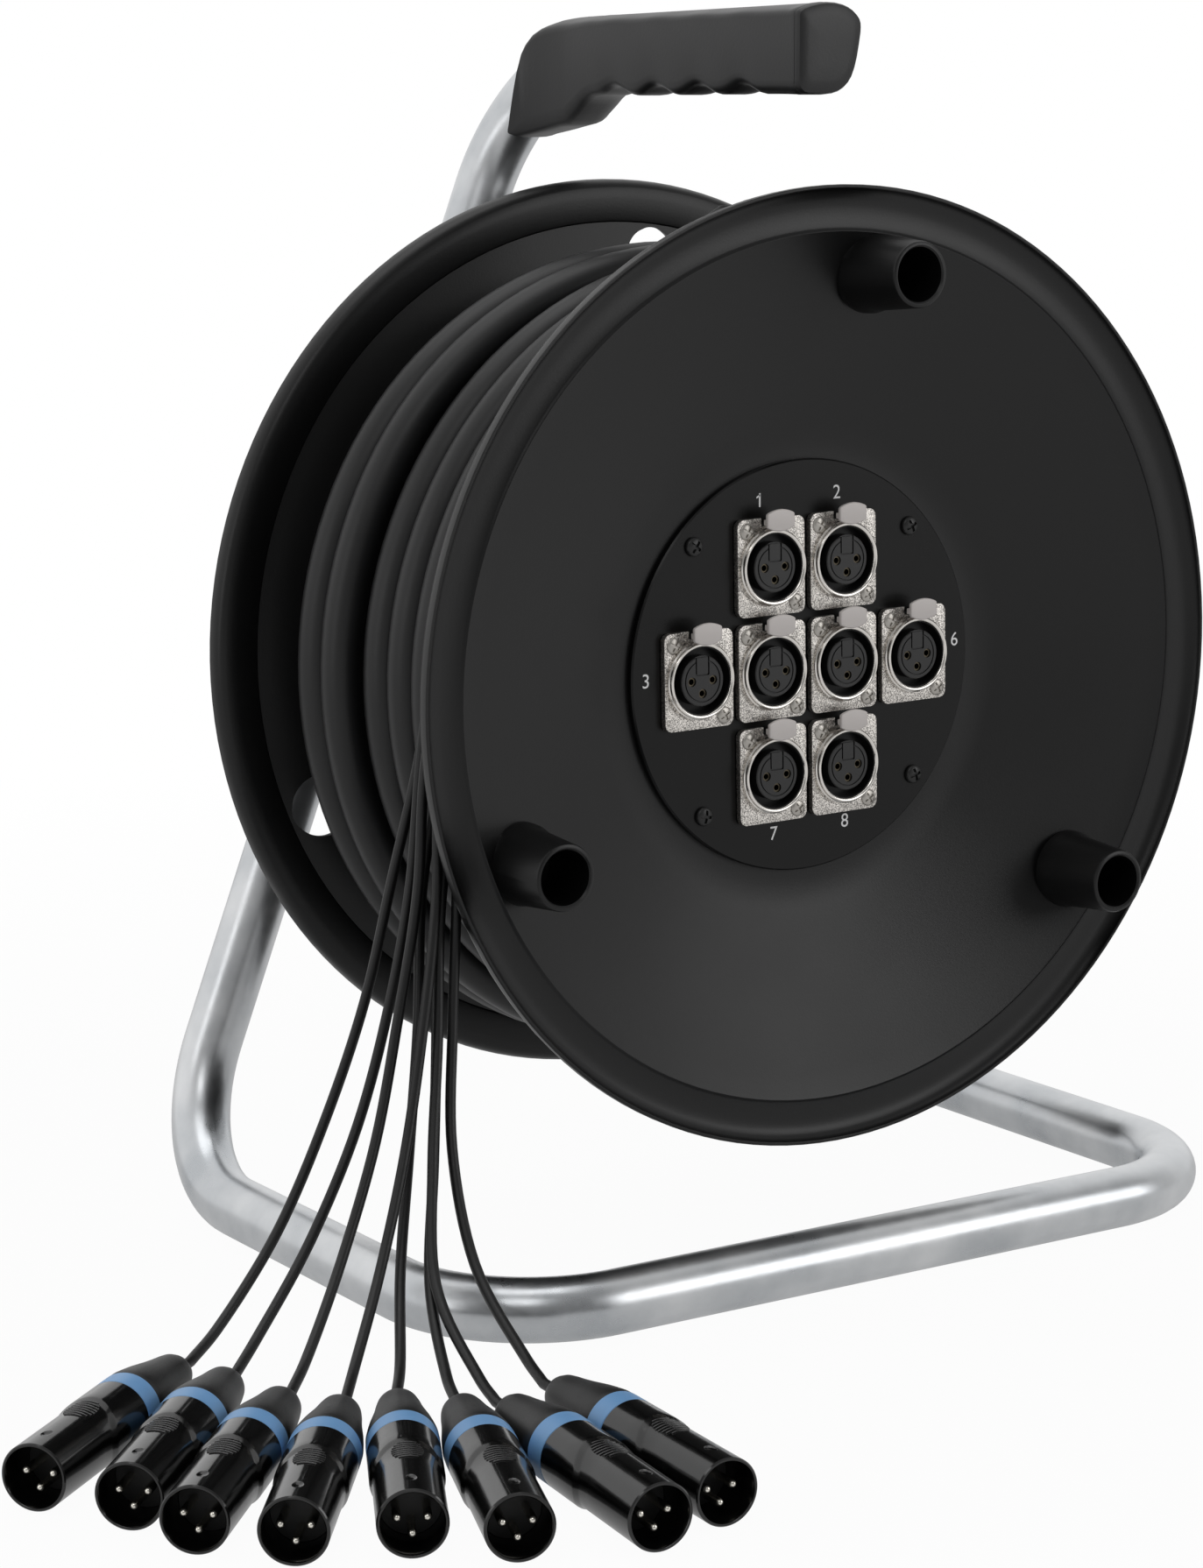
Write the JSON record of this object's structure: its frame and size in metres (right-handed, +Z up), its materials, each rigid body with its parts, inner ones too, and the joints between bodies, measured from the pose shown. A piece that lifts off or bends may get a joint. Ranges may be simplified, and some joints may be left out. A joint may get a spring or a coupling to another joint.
{
  "type": "stage box snake",
  "caption": "Cable drum in a bent steel tube frame with a round panel of XLR sockets on its front flange, a wound multicore cable and a fan-out of plug-ended tails.",
  "frame": {"origin": "on the floor, under the middle of the frame's outline", "axes": "+Z up, +Y along the drum's axis from the connector panel to the rear, +X to the right seen from the panel"},
  "size_m": [0.4774, 0.3696, 0.4007],
  "materials": {
    "steel_tube": "bright zinc, faint drawing marks",
    "steel": "machined steel",
    "bronze": "sintered bronze",
    "black_plastic": "moulded, satin",
    "panel": "smooth gloss black",
    "screw": "blackened, cross recess",
    "nickel": "nickel plated, sand textured",
    "push_tab": "pale nickel, satin",
    "cable_jacket": "soft matte jacket",
    "grip": "moulded, fine grain",
    "boot_rubber": "matte",
    "tail_jacket": "satin",
    "plug_shell": "black lacquer, glossy; pale pins",
    "plug_boot": "matte black with a pale blue band"
  },
  "bodies": {
    "frame": {"frame_tube": "steel_tube", "axle": "steel", "axle_washer": "steel", "axle_clip": "steel", "grip": "grip", "grip_end_cap": "grip", "multicore_end": "cable_jacket", "breakout_boot": "boot_rubber", "tail_cord_1": "tail_jacket", "tail_cord_2": "tail_jacket", "tail_cord_3": "tail_jacket", "tail_cord_4": "tail_jacket", "tail_cord_5": "tail_jacket", "tail_cord_6": "tail_jacket", "tail_cord_7": "tail_jacket", "tail_cord_8": "tail_jacket", "plug_1": "plug_shell", "plug_2": "plug_shell", "plug_3": "plug_shell", "plug_4": "plug_shell", "plug_5": "plug_shell", "plug_6": "plug_shell", "plug_7": "plug_shell", "plug_8": "plug_shell", "plug_boot_1": "plug_boot", "plug_boot_2": "plug_boot", "plug_boot_3": "plug_boot", "plug_boot_4": "plug_boot", "plug_boot_5": "plug_boot", "plug_boot_6": "plug_boot", "plug_boot_7": "plug_boot", "plug_boot_8": "plug_boot"},
    "drum": {"hub_bush": "bronze", "front_flange": "black_plastic", "rear_flange": "black_plastic", "drum_barrel": "black_plastic", "connector_panel": "panel", "panel_screw_1": "screw", "panel_screw_2": "screw", "panel_screw_3": "screw", "panel_screw_4": "screw", "socket_1": "nickel", "socket_2": "nickel", "socket_3": "nickel", "socket_4": "nickel", "socket_5": "nickel", "socket_6": "nickel", "socket_7": "nickel", "socket_8": "nickel", "cable_inner_layers": "cable_jacket", "multicore_winding": "cable_jacket"},
    "tab_1": {"push_tab_1": "push_tab"},
    "tab_2": {"push_tab_2": "push_tab"},
    "tab_3": {"push_tab_3": "push_tab"},
    "tab_4": {"push_tab_4": "push_tab"},
    "tab_5": {"push_tab_5": "push_tab"},
    "tab_6": {"push_tab_6": "push_tab"},
    "tab_7": {"push_tab_7": "push_tab"},
    "tab_8": {"push_tab_8": "push_tab"}
  },
  "joints": [
    {"name": "drum_spin", "type": "hinge", "parent": "frame", "child": "drum", "pos_m": [0, -0.0104, 0.1925], "axis": [0, 1, 0], "continuous": true},
    {"name": "tab_press_1", "type": "slide", "parent": "drum", "child": "tab_1", "axis": [0, 1, 0], "range_m": [0, 0.0015], "stiffness_N_per_m": 300, "springref_m": -0.001},
    {"name": "tab_press_2", "type": "slide", "parent": "drum", "child": "tab_2", "axis": [0, 1, 0], "range_m": [0, 0.0015], "stiffness_N_per_m": 300, "springref_m": -0.001},
    {"name": "tab_press_3", "type": "slide", "parent": "drum", "child": "tab_3", "axis": [0, 1, 0], "range_m": [0, 0.0015], "stiffness_N_per_m": 300, "springref_m": -0.001},
    {"name": "tab_press_4", "type": "slide", "parent": "drum", "child": "tab_4", "axis": [0, 1, 0], "range_m": [0, 0.0015], "stiffness_N_per_m": 300, "springref_m": -0.001},
    {"name": "tab_press_5", "type": "slide", "parent": "drum", "child": "tab_5", "axis": [0, 1, 0], "range_m": [0, 0.0015], "stiffness_N_per_m": 300, "springref_m": -0.001},
    {"name": "tab_press_6", "type": "slide", "parent": "drum", "child": "tab_6", "axis": [0, 1, 0], "range_m": [0, 0.0015], "stiffness_N_per_m": 300, "springref_m": -0.001},
    {"name": "tab_press_7", "type": "slide", "parent": "drum", "child": "tab_7", "axis": [0, 1, 0], "range_m": [0, 0.0015], "stiffness_N_per_m": 300, "springref_m": -0.001},
    {"name": "tab_press_8", "type": "slide", "parent": "drum", "child": "tab_8", "axis": [0, 1, 0], "range_m": [0, 0.0015], "stiffness_N_per_m": 300, "springref_m": -0.001}
  ]
}
